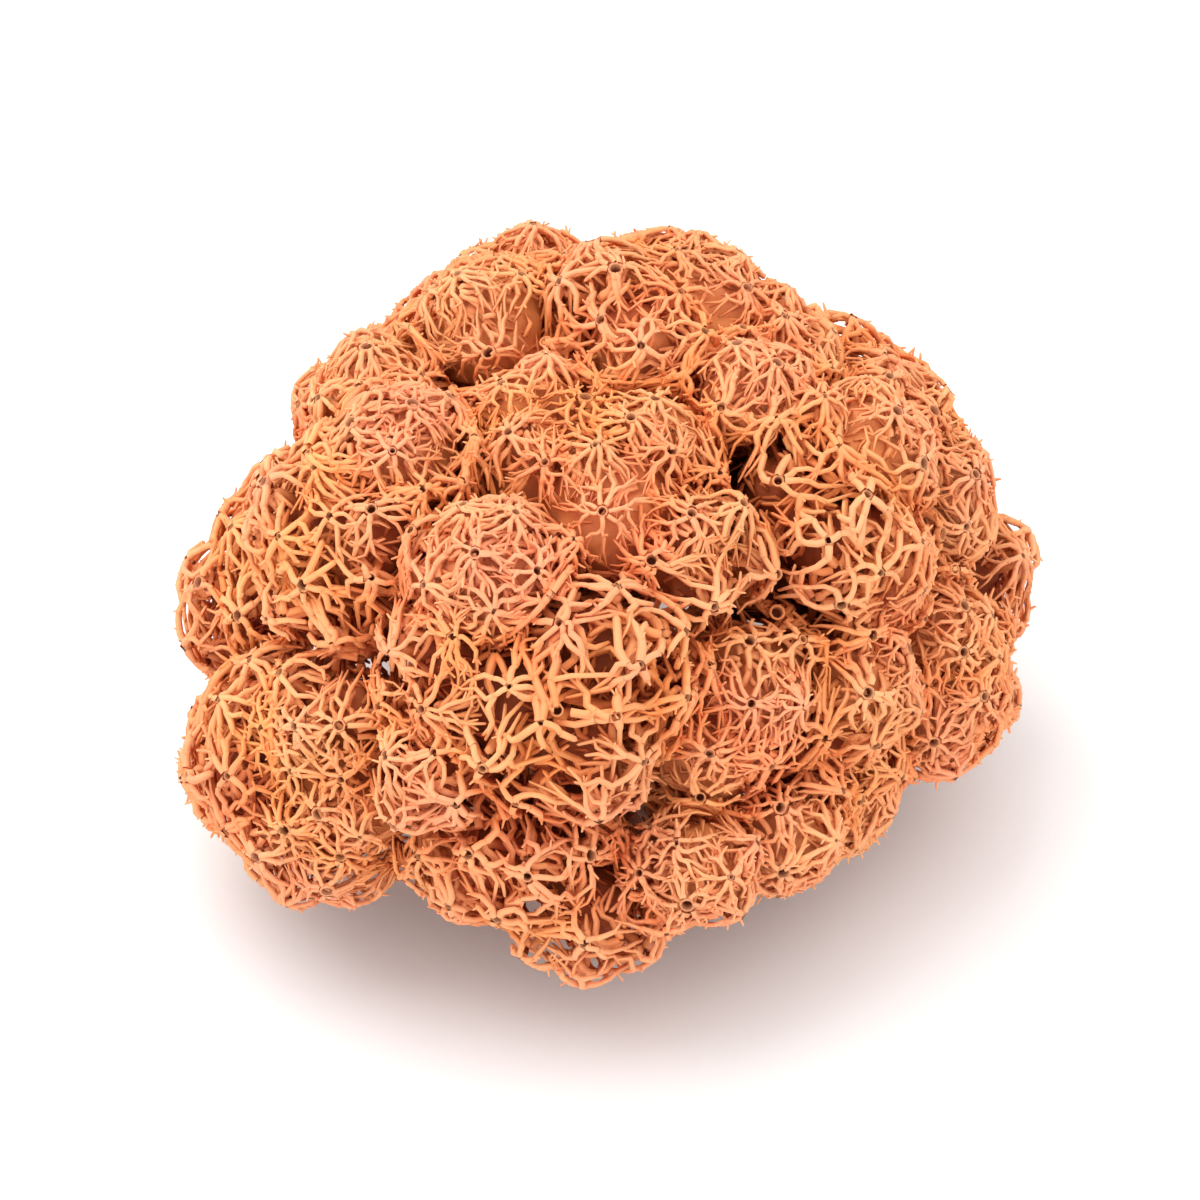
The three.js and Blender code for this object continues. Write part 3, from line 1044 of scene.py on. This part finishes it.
def mesh_piece(name, arrays):
    """A mesh object in the scene from joined arrays."""
    verts, loops, totals = arrays["verts"], arrays["loops"], arrays["totals"]
    mesh = bpy.data.meshes.new(name)
    mesh.vertices.add(len(verts))
    mesh.vertices.foreach_set("co", (verts / MM_PER_METRE).ravel())
    mesh.loops.add(len(loops))
    mesh.loops.foreach_set("vertex_index", loops)
    mesh.polygons.add(len(totals))
    mesh.polygons.foreach_set("loop_start", np.concatenate([[0], np.cumsum(totals)[:-1]]))
    mesh.polygons.foreach_set("use_smooth", np.ones(len(totals), bool))
    mesh.update(calc_edges=True)
    uv_map = mesh.uv_layers.new(name="OFBake")
    uv_map.data.foreach_set("uv", arrays["uvs"].ravel())
    values = {"reach": shade_mask_of(verts), "tone": arrays["tone"], "darkening": arrays["darkening"]}
    for key, value in values.items():
        attribute = mesh.attributes.new(key, "FLOAT", "POINT")
        attribute.data.foreach_set("value", value.astype(np.float32))
    mesh.validate()
    piece = bpy.data.objects.new(name, mesh)
    bpy.context.scene.collection.objects.link(piece)
    return piece


# %% [markdown]
# ## The dye and painted shade
#
# The dye is even, so most of the colour change is shade painted by depth: the strands on top are pale
# peach, the inside is painted a deeper, darker orange as shade, and the stalks are darker. A painted
# texture could hold these colours, but the mesh already knows where each corner lies. So a shader group
# reads the mesh's attributes: "reach" runs through a row of colours that paints shade by depth and in
# the valleys, "tone" makes one twig lighter than the next, a slow noise shifts the hue from patch to
# patch, and a third attribute paints shade in holes, kernels and hearts and darkens the stalks.

# %% Helpers for shader nodes
def new_socket(tree, name, way, kind, value=None):
    socket = tree.interface.new_socket(name=name, in_out=way, socket_type=kind)
    if value is not None:
        socket.default_value = value


def attribute_node(tree, name):
    node = tree.nodes.new("ShaderNodeAttribute")
    node.attribute_name = name
    return node.outputs["Fac"]


def ranged(tree, value, old, new):
    """A value stretched from its old range to a new one."""
    node = tree.nodes.new("ShaderNodeMapRange")
    for key, number in zip(("From Min", "From Max", "To Min", "To Max"), (*old, *new)):
        node.inputs[key].default_value = number
    tree.links.new(value, node.inputs["Value"])
    return node.outputs["Result"]


# %% Shader group for the dye and painted shade
# Pale peach at the top stop is the dye; the darker, deeper oranges below paint shade by depth.
DYE_AND_SHADE_BY_REACH = (
    (0.0, (0.60, 0.135, 0.03, 1)),
    (0.3, (0.94, 0.32, 0.095, 1)),
    (0.6, (0.96, 0.39, 0.15, 1)),
    (1.0, (0.96, 0.43, 0.20, 1)),
)
# Dark colour mixed in by the third attribute: painted shade in holes, kernels and hearts, and darker stalks.
DARKENING_COLOUR = (0.16, 0.03, 0.008, 1)
PATCH_SIZE = 130.0
PATCH_RANGE = (0.3, 0.7)
HUE_RANGE = (0.490, 0.505)
TWIG_LIGHTNESS = (0.88, 1.08)

dye_and_shade = bpy.data.node_groups.new("dye along the branching", "ShaderNodeTree")
new_socket(dye_and_shade, "Patch size", "INPUT", "NodeSocketFloat", PATCH_SIZE)
new_socket(dye_and_shade, "Darkening colour", "INPUT", "NodeSocketColor", DARKENING_COLOUR)
new_socket(dye_and_shade, "Colour", "OUTPUT", "NodeSocketColor")
group_in = dye_and_shade.nodes.new("NodeGroupInput")
group_out = dye_and_shade.nodes.new("NodeGroupOutput")

# The ramp paints shade by depth and in the valleys, read from the reach attribute.
ramp = dye_and_shade.nodes.new("ShaderNodeValToRGB")
stops = ramp.color_ramp.elements
stops[0].position, stops[0].color = DYE_AND_SHADE_BY_REACH[0]
stops[1].position, stops[1].color = DYE_AND_SHADE_BY_REACH[-1]
for position, colour in DYE_AND_SHADE_BY_REACH[1:-1]:
    stops.new(position).color = colour
dye_and_shade.links.new(attribute_node(dye_and_shade, "reach"), ramp.inputs["Fac"])

patches = dye_and_shade.nodes.new("ShaderNodeTexNoise")
patches.inputs["Detail"].default_value = 2
place = dye_and_shade.nodes.new("ShaderNodeTexCoord")
dye_and_shade.links.new(place.outputs["Object"], patches.inputs["Vector"])
dye_and_shade.links.new(group_in.outputs["Patch size"], patches.inputs["Scale"])

hue = dye_and_shade.nodes.new("ShaderNodeHueSaturation")
hue_shift = ranged(dye_and_shade, patches.outputs["Fac"], PATCH_RANGE, HUE_RANGE)
lightness = ranged(dye_and_shade, attribute_node(dye_and_shade, "tone"), (-1, 1), TWIG_LIGHTNESS)
dye_and_shade.links.new(ramp.outputs["Color"], hue.inputs["Color"])
dye_and_shade.links.new(hue_shift, hue.inputs["Hue"])
dye_and_shade.links.new(lightness, hue.inputs["Value"])

# Painted shade in holes, kernels and hearts, and darker stalks.
darken = dye_and_shade.nodes.new("ShaderNodeMix")
darken.data_type = "RGBA"
dye_and_shade.links.new(attribute_node(dye_and_shade, "darkening"), darken.inputs["Factor"])
dye_and_shade.links.new(hue.outputs["Color"], darken.inputs["A"])
dye_and_shade.links.new(group_in.outputs["Darkening colour"], darken.inputs["B"])
dye_and_shade.links.new(darken.outputs["Result"], group_out.inputs["Colour"])
print("nodes in the dye group:", len(dye_and_shade.nodes))

# %% [markdown]
# ## The lichen's surface
#
# The real surface is matt and felty, without a bark. On twigs as thin as these, subsurface light
# turns the apricot olive, so the dye and the painted shade carry the colour without it. The felt is far
# too fine for a mesh. A noise as bump gives it, with bumps of less than a tenth of a millimetre.

# %% Lichen material
FELT_GRAIN = 4200
FELT_DETAIL = 3
FELT_STRENGTH = 0.35
FELT_DEPTH = 0.00008
LICHEN_ROUGHNESS = 0.72
LICHEN_SHINE = 0.3

lichen = bpy.data.materials.new("dyed lichen")
lichen.use_nodes = True
nodes, links = lichen.node_tree.nodes, lichen.node_tree.links
shader = nodes["Principled BSDF"]
shader.inputs["Roughness"].default_value = LICHEN_ROUGHNESS
shader.inputs["Specular IOR Level"].default_value = LICHEN_SHINE

dye_and_shade_node = nodes.new("ShaderNodeGroup")
dye_and_shade_node.node_tree = dye_and_shade
links.new(dye_and_shade_node.outputs["Colour"], shader.inputs["Base Color"])

coordinates = nodes.new("ShaderNodeTexCoord")
felt = nodes.new("ShaderNodeTexNoise")
felt.inputs["Scale"].default_value = FELT_GRAIN
felt.inputs["Detail"].default_value = FELT_DETAIL
links.new(coordinates.outputs["Object"], felt.inputs["Vector"])
bump = nodes.new("ShaderNodeBump")
bump.inputs["Strength"].default_value = FELT_STRENGTH
bump.inputs["Distance"].default_value = FELT_DEPTH
links.new(felt.outputs["Fac"], bump.inputs["Height"])
links.new(bump.outputs["Normal"], shader.inputs["Normal"])
print("materials on the clump:", lichen.name)

# %% [markdown]
# ## Grow the podetia
#
# Now each podetium is grown with the functions above, always in the same order, so that the draw
# gives the same clump on every run. A piece rides on the only body, replaces its solid and takes the
# material slot of the CAD model.

# %% Build the podetia
total = 0
for podetium in podetia:
    parts = {
        "stalk": [stalk_batch(podetium)],
        "side twigs": [side_twig_batch(podetium)],
        "limbs": [limb_batch(podetium)],
        "boughs": [bough_batch(podetium)],
        "kernels and heart": kernel_batches(podetium),
        "mat twigs": [mat_batch(podetium)],
        "strands": strand_batches(podetium),
        "tips": [tip_batch(podetium)],
        "holes": [hole_batch(podetium)],
    }
    arrays = joined([batch for batches in parts.values() for batch in batches])
    piece = mesh_piece(podetium["name"] + "_fine", arrays)
    piece.data.materials.append(lichen)
    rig.ride(piece, "root")
    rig.replaces(piece, podetium["name"])
    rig.slot(piece, "lichen")
    triangles = int((arrays["totals"] - 2).sum())
    total += triangles
    counts = {kind: sum(len(batch["verts"]) for batch in batches) for kind, batches in parts.items()}
    print(piece.name, triangles, "triangles", counts)
print("triangles in all:", total)

# %% [markdown]
# ## Floor, light and camera
#
# The photograph is a studio shot on white: one large soft light from the upper left and much light
# from all around, so shadows are pale and soft. Three small lights would give hard shadows in the
# net of strands; one large disk and a bright world don't. The camera looks down at forty degrees from
# nearly a metre away, through a long lens.

# %% Floor
FLOOR_SIZE = 4
PAPER_COLOUR = (0.9, 0.9, 0.9, 1)
PAPER_ROUGHNESS = 0.9

bpy.ops.mesh.primitive_plane_add(size=FLOOR_SIZE)
floor = bpy.context.object
floor.name = "floor"
paper = bpy.data.materials.new("studio floor")
paper.use_nodes = True
paper.node_tree.nodes["Principled BSDF"].inputs["Base Color"].default_value = PAPER_COLOUR
paper.node_tree.nodes["Principled BSDF"].inputs["Roughness"].default_value = PAPER_ROUGHNESS
floor.data.materials.append(paper)
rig.stage(floor)
print("floor:", FLOOR_SIZE, "m wide")

# %% Light
WORLD_STRENGTH = 1.3
KEY_PLACE = -0.2 * CAMERA_RIGHT + 0.06 * CAMERA_AHEAD + [0, 0, 0.42]
KEY_AIM = Vector((0, 0, 0.02))
KEY_SIZE = 0.5
KEY_POWER = 1.05

world = bpy.data.worlds.new("studio")
bpy.context.scene.world = world
world.use_nodes = True
world.node_tree.nodes["Background"].inputs["Color"].default_value = (1, 1, 1, 1)
world.node_tree.nodes["Background"].inputs["Strength"].default_value = WORLD_STRENGTH

key = bpy.data.lights.new("key", "AREA")
key.shape = "DISK"
key.size = KEY_SIZE
key.energy = KEY_POWER
key_holder = bpy.data.objects.new("key", key)
key_holder.location = KEY_PLACE
key_holder.rotation_euler = (KEY_AIM - Vector(KEY_PLACE)).to_track_quat("-Z", "Y").to_euler()
bpy.context.scene.collection.objects.link(key_holder)
print("key light at", KEY_PLACE.round(3), "m")

# %% Camera
ELEVATION = math.radians(40)
DISTANCE = 0.88
FRAME_WIDTH = 0.08
AIM = Vector((0, 0, 0.0175))
NEAREST_SEEN = 0.01

toward = Vector(CAMERA_AHEAD * math.cos(ELEVATION) - np.array([0, 0, 1]) * math.sin(ELEVATION))
camera_data = bpy.data.cameras.new("camera")
camera_data.angle = 2 * math.atan(FRAME_WIDTH / 2 / DISTANCE)
camera_data.clip_start = NEAREST_SEEN
camera = bpy.data.objects.new("camera", camera_data)
camera.location = AIM - toward * DISTANCE
camera.rotation_euler = toward.to_track_quat("-Z", "Y").to_euler()
bpy.context.scene.collection.objects.link(camera)
bpy.context.scene.camera = camera
bpy.context.scene.view_settings.view_transform = "Standard"
print("the frame is", FRAME_WIDTH * MM_PER_METRE, "mm wide at the clump")

# %% Sizes and finish
json.dump(
    {"cad": cad_box, "visual": [list(corner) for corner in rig.bounds()]},
    open("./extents.json", "w"))
print(open("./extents.json").read())
